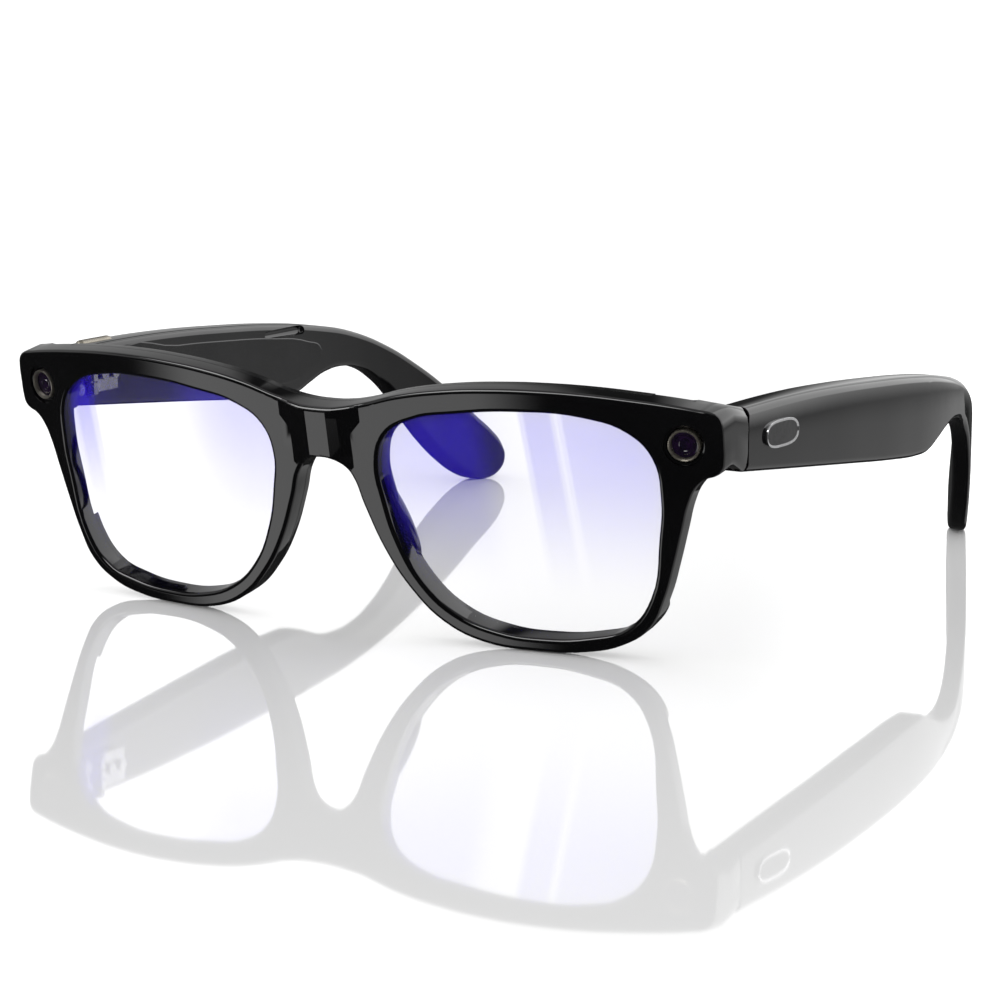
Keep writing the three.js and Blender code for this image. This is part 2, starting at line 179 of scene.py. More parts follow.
def slicePiece(piece, axis, start, stop, step):
    only(piece)
    bpy.ops.object.mode_set(mode="EDIT")
    normal = [0, 0, 0]
    normal[axis] = 1
    at = start
    while at <= stop:
        spot = [0, 0, 0]
        spot[axis] = at
        bpy.ops.mesh.select_all(action="SELECT")
        bpy.ops.mesh.bisect(plane_co=spot, plane_no=normal)
        at += step
    bpy.ops.mesh.select_all(action="SELECT")
    bpy.ops.mesh.remove_doubles(threshold=0.01)
    bpy.ops.object.mode_set(mode="OBJECT")


def reshape(piece, move):
    for vertex in piece.data.vertices:
        vertex.co = move(vertex.co)


def turnInsideOut(piece):
    only(piece)
    bpy.ops.object.mode_set(mode="EDIT")
    bpy.ops.mesh.select_all(action="SELECT")
    bpy.ops.mesh.flip_normals()
    bpy.ops.object.mode_set(mode="OBJECT")


# Rounds the sharp edges that lie at one depth of a flat drawing.
def roundLevel(piece, width, segments, level):
    only(piece)
    bpy.ops.object.mode_set(mode="EDIT")
    bpy.ops.mesh.select_mode(type="EDGE")
    bpy.ops.mesh.select_all(action="DESELECT")
    bpy.ops.mesh.edges_select_sharp(sharpness=math.radians(40))
    bpy.ops.object.mode_set(mode="OBJECT")
    for edge in piece.data.edges:
        a, b = (piece.data.vertices[i].co.z for i in edge.vertices)
        edge.select = edge.select and abs(a - level) < 0.01 and abs(b - level) < 0.01
    bpy.ops.object.mode_set(mode="EDIT")
    bpy.ops.mesh.bevel(offset=width, segments=segments, affect="EDGES",
                       clamp_overlap=False, miter_outer="ARC")
    bpy.ops.mesh.select_mode(type="VERT")
    bpy.ops.object.mode_set(mode="OBJECT")


# Where a broad face follows a known sheet, its shading takes the sheet's own direction.
def shadeLikeSheet(piece, flat, move, levels, isFacet=None):
    step = 0.2
    mesh = piece.data
    exact = {}
    for index, co in enumerate(flat):
        if any(abs(co.z - level) < 0.004 for level in levels):
            along = move(co + Vector((step, 0, 0))) - move(co - Vector((step, 0, 0)))
            up = move(co + Vector((0, step, 0))) - move(co - Vector((0, step, 0)))
            exact[index] = along.cross(up).normalized()
    normals = [Vector((0, 0, 0))] * len(mesh.loops)
    for face in mesh.polygons:
        if isFacet and isFacet(sum((flat[i] for i in face.vertices), Vector()) / len(face.vertices)):
            for corner in face.loop_indices:
                normals[corner] = face.normal.copy()
            continue
        for corner in face.loop_indices:
            normal = exact.get(mesh.loops[corner].vertex_index)
            if normal is not None and (face.area < 1e-8 or abs(normal.dot(face.normal)) > 0.85):
                normals[corner] = normal if normal.dot(face.normal) > 0 else -normal
    mesh.normals_split_custom_set(normals)


def finishSurface(piece, angle=35, sheet=None):
    only(piece)
    bpy.ops.object.shade_smooth_by_angle(angle=math.radians(angle))
    if sheet:
        shadeLikeSheet(piece, *sheet)
        return
    weighted = piece.modifiers.new("even normals", "WEIGHTED_NORMAL")
    weighted.keep_sharp = True
    weighted.weight = 50
    applyAll(piece)


def mirroredLoop(points):
    return [(-x, y, *rest) for x, y, *rest in reversed(points)]


def widened(points, factor):
    u, v = front["lensMiddle"]
    return [((x - u) * factor + u, (y - v) * factor + v) for x, y in points]


def frontLoop():
    right = front["lower"][1:] + front["upper"]
    return [front["lower"][0]] + right + [front["crest"]] + mirroredLoop(right)


# Flat drawing to the tilted, curved front: x is u, y is v and -z goes back through the front.
def standFront(co):
    back = -co.z + front["curve"] * co.x * co.x
    tilt = front["tilt"]
    y = back * math.cos(tilt) - co.y * math.sin(tilt)
    z = back * math.sin(tilt) + co.y * math.cos(tilt)
    return place(Vector((co.x, y, z)))


def flatFront(co):
    co = co / mm - shift
    tilt = front["tilt"]
    back = co.y * math.cos(tilt) + co.z * math.sin(tilt)
    return Vector((co.x, co.z * math.cos(tilt) - co.y * math.sin(tilt), front["curve"] * co.x * co.x - back))


def frontSheet(piece, *levels):
    return [flatFront(vertex.co) for vertex in piece.data.vertices], standFront, levels


def onBridge(center):
    return abs(center.x) < lineAt(front["bridge"]["outer"], center.y) and center.y > 29 and center.z > -0.05


# Temple: the drawing's x is y, its y is z, and z goes from the outer face inwards.
temple = {
    "outer": [(10, 70.45), (30, 71.3), (50, 71.9), (70, 72), (85, 71.6), (95, 70.9), (105, 69.6), (112, 68.2),
              (119, 66.2), (126, 63.4), (134, 59.8), (141.5, 56.5), (147, 54.2)],
    "thickness": [(12, 6), (30, 6.3), (60, 6.2), (85, 5.6), (112, 4.2), (125, 3.8), (147, 4)],
    "top": [(12, 42.1), (45, 41.6), (61, 40.6), (80, 39), (95, 37.1), (106, 34.8), (116, 31)],
    "low": [(12, 31.6), (30, 29.6), (50, 27.4), (70, 25.2), (87, 24.3), (103, 27.9), (116, 25)],
    "crown": 0.55,  # how far the outer face falls away at its upper and lower edges
    "depth": 6,  # drawn thickness, scaled to the real one
    "jointY": 12.65,
    "rounding": 1.25,
    "profile": [
        (8, 42.1, "corner"), (30, 42.1), (45, 41.6), (61, 40.6), (80, 39), (95, 37.1), (106, 34.8),
        (116, 31), (124, 26.2), (131.5, 20.3), (138, 14), (142, 10.3), (144.6, 7), (145.4, 3.9),
        (144, 1.3), (140.7, -0.15), (138, 0.1), (134.8, 1.6), (131, 4.6), (126.4, 9.4), (122, 15),
        (118, 20.3), (114, 24), (109, 26.8), (103, 27.9), (97, 27.4), (91.5, 25.7), (87, 24.3),
        (82, 24.2), (70, 25.2), (50, 27.4), (30, 29.6), (8, 32, "corner"),
    ],
    "innerCover": [
        (25, 39.4), (45, 39), (61, 38), (78, 36.5), (90, 34.6), (95, 32.4), (94.4, 30), (90, 28.2),
        (86, 27.1), (80, 26.9), (70, 27.7), (50, 29.8), (30, 32), (25, 32.6), (24, 36),
    ],
    "coverProud": 0.12,
    "coverDepth": 1.0,
    "bassSlot": ((75, 36.2), (89, 38.1)),
    "switchSlot": ((28.1, 35.6), (33.9, 37.4)),
}


def between(table, at):
    for (a, low), (b, high) in zip(table, table[1:]):
        if at <= b:
            share = (at - a) / (b - a)
            return low + (high - low) * share
    return table[-1][1]


def smoothBetween(table, at):
    return sum(between(table, at + step) for step in (-4, -2, 0, 2, 4)) / 5


def outerAt(y):
    return smoothBetween(temple["outer"], y)


def innerAt(y):
    return outerAt(y) - smoothBetween(temple["thickness"], y)


def standTemple(side):
    def move(co):
        y, z, depth = co.x, co.y, -co.z / temple["depth"]
        top, low = smoothBetween(temple["top"], y), smoothBetween(temple["low"], y)
        reach = max(-1, min(1, (z - (top + low) / 2) / ((top - low) / 2)))
        fade = max(0, min(1, (122 - y) / 20))
        fall = temple["crown"] * reach * reach * fade * (1 - depth)
        x = outerAt(y) - fall - depth * smoothBetween(temple["thickness"], y)
        return place(Vector((side * x, y, z)))
    return move


def cutOff(piece, axis, at, sign):
    only(piece)
    spot, normal = [0, 0, 0], [0, 0, 0]
    spot[axis], normal[axis] = at, sign
    bpy.ops.object.mode_set(mode="EDIT")
    bpy.ops.mesh.select_all(action="SELECT")
    bpy.ops.mesh.bisect(plane_co=spot, plane_no=normal, use_fill=True, clear_outer=True)
    bpy.ops.object.mode_set(mode="OBJECT")


# A pill or box started from a cube and shaped in edit mode, in drawing millimetres.
def addBlock(name, low, high, rounding=0, segments=4, along=None):
    low, high = Vector(low), Vector(high)
    bpy.ops.object.select_all(action="DESELECT")
    bpy.ops.mesh.primitive_cube_add(size=1, location=(0, 0, 0))
    piece = bpy.context.active_object
    piece.name = piece.data.name = name
    bpy.ops.object.mode_set(mode="EDIT")
    bpy.ops.mesh.select_all(action="SELECT")
    bpy.ops.transform.resize(value=tuple(high - low))
    bpy.ops.transform.translate(value=tuple((high + low) / 2))
    bpy.ops.object.mode_set(mode="OBJECT")
    if rounding and along is not None:
        bpy.ops.object.mode_set(mode="EDIT")
        bpy.ops.mesh.select_mode(type="EDGE")
        bpy.ops.object.mode_set(mode="OBJECT")
        for edge in piece.data.edges:
            a, b = (piece.data.vertices[i].co for i in edge.vertices)
            edge.select = abs((a - b)[along]) > 0.01
        bpy.ops.object.mode_set(mode="EDIT")
        bpy.ops.mesh.bevel(offset=rounding, segments=segments * 2, affect="EDGES", clamp_overlap=False)
        bpy.ops.mesh.select_mode(type="VERT")
        bpy.ops.mesh.select_all(action="SELECT")
        bpy.ops.mesh.remove_doubles(threshold=0.0005)
        bpy.ops.object.mode_set(mode="OBJECT")
    elif rounding:
        roundEdges(piece, rounding, segments)
    return piece


# A turned piece: (radius, depth) points spun about the eye's own axis.
def spinProfile(name, profile, steps=56):
    sketch = bpy.data.curves.new(name, "CURVE")
    line = sketch.splines.new("POLY")
    line.points.add(len(profile) - 1)
    for knot, (radius, depth) in zip(line.points, profile):
        knot.co = (radius, depth, 0, 1)
    piece = bpy.data.objects.new(name, sketch)
    bpy.context.scene.collection.objects.link(piece)
    only(piece)
    bpy.ops.object.convert(target="MESH")
    piece = bpy.context.view_layer.objects.active
    bpy.ops.object.mode_set(mode="EDIT")
    bpy.ops.mesh.select_all(action="SELECT")
    bpy.ops.mesh.spin(steps=steps, angle=2 * math.pi, center=(0, 0, 0), axis=(0, 1, 0))
    bpy.ops.mesh.select_all(action="SELECT")
    bpy.ops.mesh.remove_doubles(threshold=0.0005)
    bpy.ops.mesh.normals_make_consistent(inside=False)
    bpy.ops.object.mode_set(mode="OBJECT")
    return piece


eye = {"u": 64.1, "v": 36.1}


def standEye(side):
    u, slope = eye["u"], 2 * front["curve"] * eye["u"]
    length = math.sqrt(1 + slope * slope)
    back = front["curve"] * u * u

    def move(co):
        sideways = side * (u + (side * co.x - slope * co.y) / length)
        deep = back + (side * co.x * slope + co.y) / length
        height = eye["v"] + co.z
        tilt = front["tilt"]
        y = deep * math.cos(tilt) - height * math.sin(tilt)
        z = deep * math.sin(tilt) + height * math.cos(tilt)
        return place(Vector((sideways, y, z)))
    return move


# Finishes. Each has two close tones, a fine surface texture and a spread of roughness.
finishes = {
    "black_shell": {
        "tones": ((0.0012, 0.0012, 0.0015), (0.0022, 0.0022, 0.0026)),
        "rough": (0.045, 0.07), "grain": 320, "bump": 0.006, "coat": 0.2,
    },
    "inner_shell": {
        "tones": ((0.003, 0.003, 0.0034), (0.005, 0.005, 0.0055)),
        "rough": (0.12, 0.2), "grain": 900, "bump": 0.03,
    },
    "black_part": {
        "tones": ((0.010, 0.010, 0.011), (0.018, 0.018, 0.019)),
        "rough": (0.35, 0.5), "grain": 1200, "bump": 0.08,
    },
    "warm_metal": {
        "tones": ((0.26, 0.24, 0.2), (0.34, 0.31, 0.26)),
        "rough": (0.24, 0.34), "grain": 1800, "bump": 0.05, "metal": 0.85,
    },
    "ring_steel": {
        "tones": ((0.22, 0.205, 0.18), (0.29, 0.27, 0.24)),
        "rough": (0.26, 0.36), "grain": 1800, "bump": 0.05, "metal": 0.85,
    },
    # dark_glass: near-black glass with a purple tint in its tones; the purple is a painted reflection,
    # standing in for the coating's purple glint
    "dark_glass": {
        "tones": ((0.002, 0.001, 0.006), (0.009, 0.0015, 0.018)),
        "rough": (0.02, 0.04), "grain": 4200, "bump": 0.004, "coat": 1.0,
    },
    "brass": {
        "tones": ((0.62, 0.42, 0.15), (0.74, 0.52, 0.2)),
        "rough": (0.2, 0.3), "grain": 1500, "bump": 0.05, "metal": 1.0,
    },
    "bright_silver": {
        "tones": ((0.72, 0.72, 0.73), (0.86, 0.86, 0.87)),
        "rough": (0.16, 0.26), "grain": 1600, "bump": 0.05, "metal": 1.0,
    },
    "copper_flex": {
        "tones": ((0.35, 0.13, 0.04), (0.45, 0.18, 0.06)),
        "rough": (0.35, 0.5), "grain": 900, "bump": 0.05, "metal": 0.6,
    },
    "circuit_board": {
        "tones": ((0.006, 0.035, 0.014), (0.012, 0.06, 0.024)),
        "rough": (0.35, 0.5), "grain": 700, "bump": 0.08,
    },
    "foil": {
        "tones": ((0.40, 0.40, 0.42), (0.52, 0.52, 0.54)),
        "rough": (0.3, 0.45), "grain": 500, "bump": 0.1, "metal": 0.9,
    },
    "mesh_steel": {
        "tones": ((0.05, 0.05, 0.052), (0.12, 0.12, 0.125)),
        "rough": (0.4, 0.55), "grain": 2600, "bump": 0.3, "metal": 0.8,
    },
    "hinge_steel": {
        "tones": ((0.30, 0.30, 0.31), (0.42, 0.42, 0.43)),
        "rough": (0.2, 0.32), "grain": 1500, "bump": 0.05, "metal": 1.0,
    },
}


def makeFinish(name, spec):
    material = bpy.data.materials.new(name)
    material.use_nodes = True
    nodesOf, links = material.node_tree.nodes, material.node_tree.links
    shader = nodesOf["Principled BSDF"]
    spot = nodesOf.new("ShaderNodeTexCoord")
    mottle = nodesOf.new("ShaderNodeTexNoise")
    mottle.inputs["Scale"].default_value = spec["grain"] / 6
    mottle.inputs["Detail"].default_value = 3
    fine = nodesOf.new("ShaderNodeTexNoise")
    fine.inputs["Scale"].default_value = spec["grain"]
    fine.inputs["Detail"].default_value = 4
    tone = nodesOf.new("ShaderNodeValToRGB")
    tone.color_ramp.elements[0].position = 0.35
    tone.color_ramp.elements[1].position = 0.65
    tone.color_ramp.elements[0].color = (*spec["tones"][0], 1)
    tone.color_ramp.elements[1].color = (*spec["tones"][1], 1)
    rough = nodesOf.new("ShaderNodeMapRange")
    rough.inputs["From Min"].default_value = 0.3
    rough.inputs["From Max"].default_value = 0.7
    rough.inputs["To Min"].default_value = spec["rough"][0]
    rough.inputs["To Max"].default_value = spec["rough"][1]
    bump = nodesOf.new("ShaderNodeBump")
    bump.inputs["Strength"].default_value = spec["bump"]
    bump.inputs["Distance"].default_value = 0.00005
    links.new(spot.outputs["Object"], mottle.inputs["Vector"])
    links.new(spot.outputs["Object"], fine.inputs["Vector"])
    links.new(mottle.outputs["Fac"], tone.inputs["Fac"])
    links.new(fine.outputs["Fac"], rough.inputs["Value"])
    links.new(fine.outputs["Fac"], bump.inputs["Height"])
    links.new(tone.outputs["Color"], shader.inputs["Base Color"])
    links.new(rough.outputs["Result"], shader.inputs["Roughness"])
    links.new(bump.outputs["Normal"], shader.inputs["Normal"])
    shader.inputs["Metallic"].default_value = spec.get("metal", 0)
    shader.inputs["Coat Weight"].default_value = spec.get("coat", 0)
    shader.inputs["Coat Roughness"].default_value = 0.03
    shader.inputs["IOR"].default_value = 1.5
    return material


# Tinted lens: strongest at the top, coloured by how much it covers. Its upright bands are painted
# reflections: pale streaks and stronger-tinted stripes set into the tint by place.
lensTint = {
    "colour": (0.04, 0.01, 1.0),
    "glint": (0.07, 0.03, 1.0),
    "low": (7, 0.0),
    "high": (40, 0.23),
    "slant": 0.11,
    "level": 38,
    # left and right: painted reflections, upright bands where the tint is lighter or stronger
    "left": [(11, 1.0), (26, 0.9), (30, 0.3), (36.2, 0.12), (36.6, 1.0), (42, 0.95), (42.15, 0.03),
             (42.65, 0.03), (42.8, 0.9), (55, 1.0), (64, 1.0)],
    "right": [(-64, 0.4), (-59.5, 0.5), (-58.5, 1.5), (-54, 1.4), (-53.4, 0.3), (-45, 0.12), (-34, 0.2),
              (-26, 0.8), (-20, 1.0), (-10, 1.0)],
    "span": 70,
}


def makeLensFinish(word):
    material = bpy.data.materials.new("lens_" + word)
    material.use_nodes = True
    nodesOf, links = material.node_tree.nodes, material.node_tree.links
    shader = nodesOf["Principled BSDF"]
    spot = nodesOf.new("ShaderNodeTexCoord")
    apart = nodesOf.new("ShaderNodeSeparateXYZ")
    links.new(spot.outputs["Object"], apart.inputs["Vector"])
    height = nodesOf.new("ShaderNodeMapRange")
    height.interpolation_type = "SMOOTHSTEP"
    lowAt, highAt = lensTint["low"], lensTint["high"]
    height.inputs["From Min"].default_value = lowAt[0] * mm
    height.inputs["From Max"].default_value = highAt[0] * mm
    height.inputs["To Min"].default_value = lowAt[1]
    height.inputs["To Max"].default_value = highAt[1]
    links.new(apart.outputs["Z"], height.inputs["Value"])
    lean = nodesOf.new("ShaderNodeMath")
    lean.operation = "MULTIPLY_ADD"
    lean.inputs[1].default_value = lensTint["slant"]
    links.new(apart.outputs["Z"], lean.inputs[0])
    links.new(apart.outputs["X"], lean.inputs[2])
    across = nodesOf.new("ShaderNodeMapRange")
    offset = lensTint["slant"] * lensTint["level"] * mm
    across.inputs["From Min"].default_value = -lensTint["span"] * mm + offset
    across.inputs["From Max"].default_value = lensTint["span"] * mm + offset
    links.new(lean.outputs[0], across.inputs["Value"])
    # Painted reflections: upright bands of lighter and stronger tint across the lens
    paintedReflectionBands = nodesOf.new("ShaderNodeValToRGB")
    ramp = paintedReflectionBands.color_ramp
    stops = lensTint[word]
    while len(ramp.elements) < len(stops):
        ramp.elements.new(0.5)
    for stop, (at, level) in zip(ramp.elements, stops):
        stop.position = (at + lensTint["span"]) / (2 * lensTint["span"])
        stop.color = (level, level, level, 1)
    links.new(across.outputs["Result"], paintedReflectionBands.inputs["Fac"])
    cover = nodesOf.new("ShaderNodeMath")
    cover.operation = "MULTIPLY_ADD"
    cover.inputs[2].default_value = 0.004
    links.new(height.outputs["Result"], cover.inputs[0])
    links.new(paintedReflectionBands.outputs["Color"], cover.inputs[1])
    links.new(cover.outputs[0], shader.inputs["Alpha"])
    smear = nodesOf.new("ShaderNodeTexNoise")
    smear.inputs["Scale"].default_value = 90
    tone = nodesOf.new("ShaderNodeValToRGB")
    tone.color_ramp.elements[0].color = (*lensTint["colour"], 1)
    tone.color_ramp.elements[1].color = (*lensTint["glint"], 1)
    links.new(spot.outputs["Object"], smear.inputs["Vector"])
    links.new(smear.outputs["Fac"], tone.inputs["Fac"])
    links.new(tone.outputs["Color"], shader.inputs["Base Color"])
    shader.inputs["Roughness"].default_value = 0.04
    shader.inputs["IOR"].default_value = 1.3
    return material


made = {name: makeFinish(name, spec) for name, spec in finishes.items()}
for word in sides:
    made["lens_" + word] = makeLensFinish(word)
print("finishes made:", len(made))


def settle(piece, finish, body, slot, *replaced, angle=35, sheet=None):
    piece.data.materials.clear()
    piece.data.materials.append(made[finish])
    finishSurface(piece, angle, sheet)
    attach(piece, body)
    if replaced:
        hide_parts(*replaced)
    print(piece.name, "faces:", len(piece.data.polygons))


# Front frame with its end pieces.
eyeBore = [(0, -1.2), (3.62, -1.2), (3.62, -0.3), (3.4, 0.12), (3.4, 0.5),
           (3.02, 0.62), (3.02, 2.4), (0, 2.4)]


def buildFront():
    piece = drawFlat("frontFrame", [frontLoop(), front["aperture"], mirroredLoop(front["aperture"])])
    pushOut(piece, -front["shellDepth"])
    back = -front["shellDepth"]
    for begin, depth in (("shoulderFrom", front["shoulderDepth"]), ("bossFrom", front["bossDepth"])):
        only(piece)
        bpy.ops.object.mode_set(mode="EDIT")
        for side in sides.values():
            bpy.ops.mesh.select_all(action="SELECT")
            bpy.ops.mesh.bisect(plane_co=(side * front[begin], 0, 0), plane_no=(1, 0, 0))
        if begin == "shoulderFrom":
            bpy.ops.mesh.select_all(action="SELECT")
            bpy.ops.mesh.bisect(plane_co=(0, front["bossHeights"][0], 0), plane_no=(0, 1, 0))
        bpy.ops.mesh.select_mode(type="FACE")
        bpy.ops.mesh.select_all(action="DESELECT")
        bpy.ops.object.mode_set(mode="OBJECT")
        for face in piece.data.polygons:
            outer = abs(face.center.x) > front[begin] and face.center.y > front["bossHeights"][0]
            face.select = outer and face.normal.z < -0.9 and face.center.z < back + 0.01
        bpy.ops.object.mode_set(mode="EDIT")
        bpy.ops.mesh.extrude_region_move(TRANSFORM_OT_translate={"value": (0, 0, -depth)})
        bpy.ops.mesh.select_mode(type="VERT")
        bpy.ops.object.mode_set(mode="OBJECT")
        back -= depth
    roundLevel(piece, front["rounding"], 6, 0)
    for vertex in piece.data.vertices:  # keeps the tight corners of the rounding from crossing over
        vertex.co.x = max(-front["halfWidth"], min(front["halfWidth"], vertex.co.x))
    slicePiece(piece, 0, -68, 68, 2)
    only(piece)
    bpy.ops.object.mode_set(mode="EDIT")
    for side in sides.values():
        for name in ("outer", "inner"):
            (low, lowLevel), (high, highLevel) = front["bridge"][name]
            bpy.ops.mesh.select_all(action="SELECT")
            bpy.ops.mesh.bisect(plane_co=(side * low, lowLevel, 0),
                                plane_no=(side * (highLevel - lowLevel), low - high, 0))
    bpy.ops.object.mode_set(mode="OBJECT")

    def move(co):
        shoulder = front["shellDepth"] + front["shoulderDepth"]
        if -co.z <= shoulder:
            return standFront(Vector((co.x, co.y, co.z + bridgeRise(co))))
        start = standFront(Vector((co.x, co.y, -shoulder)))
        share = (-co.z - shoulder) / front["bossDepth"]
        low, high = front["bossHeights"]
        level = min(1, (co.y - low) / (high - low))
        height = front["jointLow"] + level * front["jointTall"]
        end = place(Vector((co.x, front["jointY"], height)))
        return start.lerp(end, share)
    reshape(piece, move)
    for side in sides.values():
        tool = spinProfile("eyeBoreTool", eyeBore)
        reshape(tool, standEye(side))
        carve(piece, tool)
    settle(piece, "black_shell", "front", "black_shell", "front_shell", angle=30,
           sheet=(*frontSheet(piece, 0), onBridge))


buildFront()


# Rear cover with the nose pads.
rearCover = {
    "narrowing": 0.997,
    "holeFactor": 1.012,
    "rounding": 0.2,
    "halfWidth": 57.85,
    "padHalf": (1.9, 8.2),  # across and along
    "padAt": (10.7, 19.7, 4.7),  # sideways, up and back from the face
    "padTurn": 23,
}


def buildRearCover():
    outline = [(x * rearCover["narrowing"], y) for x, y in frontLoop()]
    hole = widened(front["aperture"], rearCover["holeFactor"])
    piece = drawFlat("rearCover", [outline, hole, mirroredLoop(hole)])
    pushOut(piece, -front["coverDepth"])
    roundLevel(piece, rearCover["rounding"], 3, -front["coverDepth"])
    for side in sides.values():
        cutOff(piece, 0, side * rearCover["halfWidth"], side)
    for vertex in piece.data.vertices:
        vertex.co.z -= front["shellDepth"] + front["coverGap"]
    slicePiece(piece, 0, -56, 56, 2)
    (across, along), (out, up, deep) = rearCover["padHalf"], rearCover["padAt"]
    for side in sides.values():
        bpy.ops.object.select_all(action="DESELECT")
        bpy.ops.mesh.primitive_uv_sphere_add(segments=40, ring_count=24, radius=1, location=(0, 0, 0))
        pad = bpy.context.active_object
        turn = Matrix.Rotation(side * math.radians(-rearCover["padTurn"]), 4, "Y")
        for vertex in pad.data.vertices:
            co = turn @ Vector((vertex.co.x * across, vertex.co.y * across, vertex.co.z * along))
            vertex.co = (co.x + side * out, co.z + up, -(co.y + deep))
        carve(piece, pad, "UNION")
    reshape(piece, standFront)
    back = -front["shellDepth"] - front["coverGap"] - front["coverDepth"]
    settle(piece, "inner_shell", "front", "inner_shell", "rear_cover", angle=40,
           sheet=frontSheet(piece, back))


buildRearCover()


# Lenses.
lens = {"factor": 1.008, "thickness": 1.6, "setBack": 1.6}


def buildLens(word, side):
    loop = widened(front["aperture"], lens["factor"])
    piece = drawFlat("lens_" + word, [loop if side > 0 else mirroredLoop(loop)], 8)
    pushOut(piece, -lens["thickness"])
    for vertex in piece.data.vertices:
        vertex.co.z -= lens["setBack"]
    slicePiece(piece, 1, 0, 42, 4)
    slicePiece(piece, 0, -60, 60, 2)
    reshape(piece, standFront)
    faces = frontSheet(piece, -lens["setBack"], -lens["setBack"] - lens["thickness"])
    settle(piece, "lens_" + word, "front", "lens", "lens_" + word, sheet=faces)


for word, side in sides.items():
    buildLens(word, side)


# Camera and lamp: a ring with a turned lip, and a domed glass inside it.
def buildEye(word, side, label, inner, finish):
    lip = [(inner, 0.75), (inner, 0.35), (inner + 0.1, 0.12), (inner + 0.28, 0.02), (2.5, 0.0),
           (2.64, 0.06), (2.72, 0.2), (2.72, 2.0), (inner, 2.0), (inner, 0.75)]
    ring = spinProfile(label + "_ring", lip)
    reshape(ring, standEye(side))
    settle(ring, finish, "front", finish, label + "_ring")
    dome = [(0, 0.62), (inner * 0.2, 0.625), (inner * 0.36, 0.65), (inner * 0.4, 0.76), (inner * 0.46, 0.78),
            (inner * 0.5, 0.7), (inner * 0.72, 0.74), (inner * 0.76, 0.84), (inner * 0.84, 0.86),
            (inner - 0.06, 0.8), (inner - 0.06, 1.25), (0, 1.25)]
    glass = spinProfile(label + "_window", dome)
    reshape(glass, standEye(side))
    settle(glass, "dark_glass", "front", "dark_glass", label + "_window")


buildEye("left", 1, "camera", 2.2, "warm_metal")
buildEye("right", -1, "lamp", 2.22, "ring_steel")


# Temples.
def buildTemple(word, side):
    piece = drawFlat("temple_" + word, [temple["profile"]])
    pushOut(piece, -temple["depth"])
    roundEdges(piece, temple["rounding"], 5)
    cutOff(piece, 0, temple["jointY"], -1)
    slicePiece(piece, 0, 14, 144, 2)
    (y0, z0), (y1, z1) = temple["bassSlot"]
    tool = addBlock("slotTool", (y0, z0, -temple["depth"] - 1), (y1, z1, -temple["depth"] + 1.1), 0.9, 4, 2)
    carve(piece, tool)
    flat = [vertex.co.copy() for vertex in piece.data.vertices]
    reshape(piece, standTemple(side))
    if side < 0:
        turnInsideOut(piece)
    settle(piece, "black_shell", word + "_temple", "black_shell", "temple_shell_" + word,
           sheet=(flat, standTemple(side), (0, -temple["depth"])))


for word, side in sides.items():
    buildTemple(word, side)


def buildInnerCover(word, side):
    piece = drawFlat("temple_cover_" + word, [temple["innerCover"]])
    pushOut(piece, -temple["coverDepth"])
    roundEdges(piece, 0.25, 3)
    slicePiece(piece, 0, 26, 94, 2)
    deep = temple["depth"] + temple["coverProud"]
    for vertex in piece.data.vertices:
        vertex.co.z -= deep - temple["coverDepth"]
    if word == "left":
        (y0, z0), (y1, z1) = temple["switchSlot"]
        carve(piece, addBlock("slotTool", (y0, z0, -deep - 1), (y1, z1, -deep + 0.8), 0.8, 4, 2))
    flat = [vertex.co.copy() for vertex in piece.data.vertices]
    reshape(piece, standTemple(side))
    if side < 0:
        turnInsideOut(piece)
    settle(piece, "inner_shell", word + "_temple", "inner_shell", "temple_cover_" + word,
           sheet=(flat, standTemple(side), (-deep,)))


for word, side in sides.items():
    buildInnerCover(word, side)

# Oval plaque: a rim round a sunk middle, set proud on the temple's crowned outer face.
plaque = {"y": 23.6, "z": 36.6, "half": (5.6, 2.3), "proud": 0.25, "rim": 0.42, "sunk": 0.14,
          "depth": 0.7, "rounding": 0.07}


def buildPlaque(word, side):
    wide, tall = plaque["half"]
    corners = [(plaque["y"] + wide, plaque["z"]), (plaque["y"], plaque["z"] + tall),
               (plaque["y"] - wide, plaque["z"]), (plaque["y"], plaque["z"] - tall)]
    piece = drawFlat("temple_plaque_" + word, [corners], 16)
    pushOut(piece, -plaque["depth"])
    bpy.ops.object.mode_set(mode="EDIT")
    bpy.ops.mesh.select_mode(type="FACE")
    bpy.ops.mesh.select_all(action="DESELECT")
    bpy.ops.object.mode_set(mode="OBJECT")
    for face in piece.data.polygons:
        face.select = face.normal.z > 0.9
    bpy.ops.object.mode_set(mode="EDIT")
    bpy.ops.mesh.inset(thickness=plaque["rim"])
    bpy.ops.transform.translate(value=(0, 0, -plaque["sunk"]))
    bpy.ops.mesh.select_mode(type="VERT")
    bpy.ops.object.mode_set(mode="OBJECT")
    roundEdges(piece, plaque["rounding"], 2)
    for vertex in piece.data.vertices:
        vertex.co.z += plaque["proud"] * 0.9
    reshape(piece, standTemple(side))
    if side < 0:
        turnInsideOut(piece)
    settle(piece, "bright_silver", word + "_temple", "bright_silver", "temple_plaque_" + word)
    piece.data.materials.append(made["black_part"])
    middle = Vector(place(Vector((side * outerAt(plaque["y"]), plaque["y"], plaque["z"]))))
    for face in piece.data.polygons:
        off = face.center / mm - middle / mm
        inside = (off.y / (wide - plaque["rim"])) ** 2 + (off.z / (tall - plaque["rim"])) ** 2 < 1.1
        face.material_index = 1 if inside and side * off.x > -0.2 and abs(face.normal.x) > 0.9 else 0


for word, side in sides.items():
    buildPlaque(word, side)


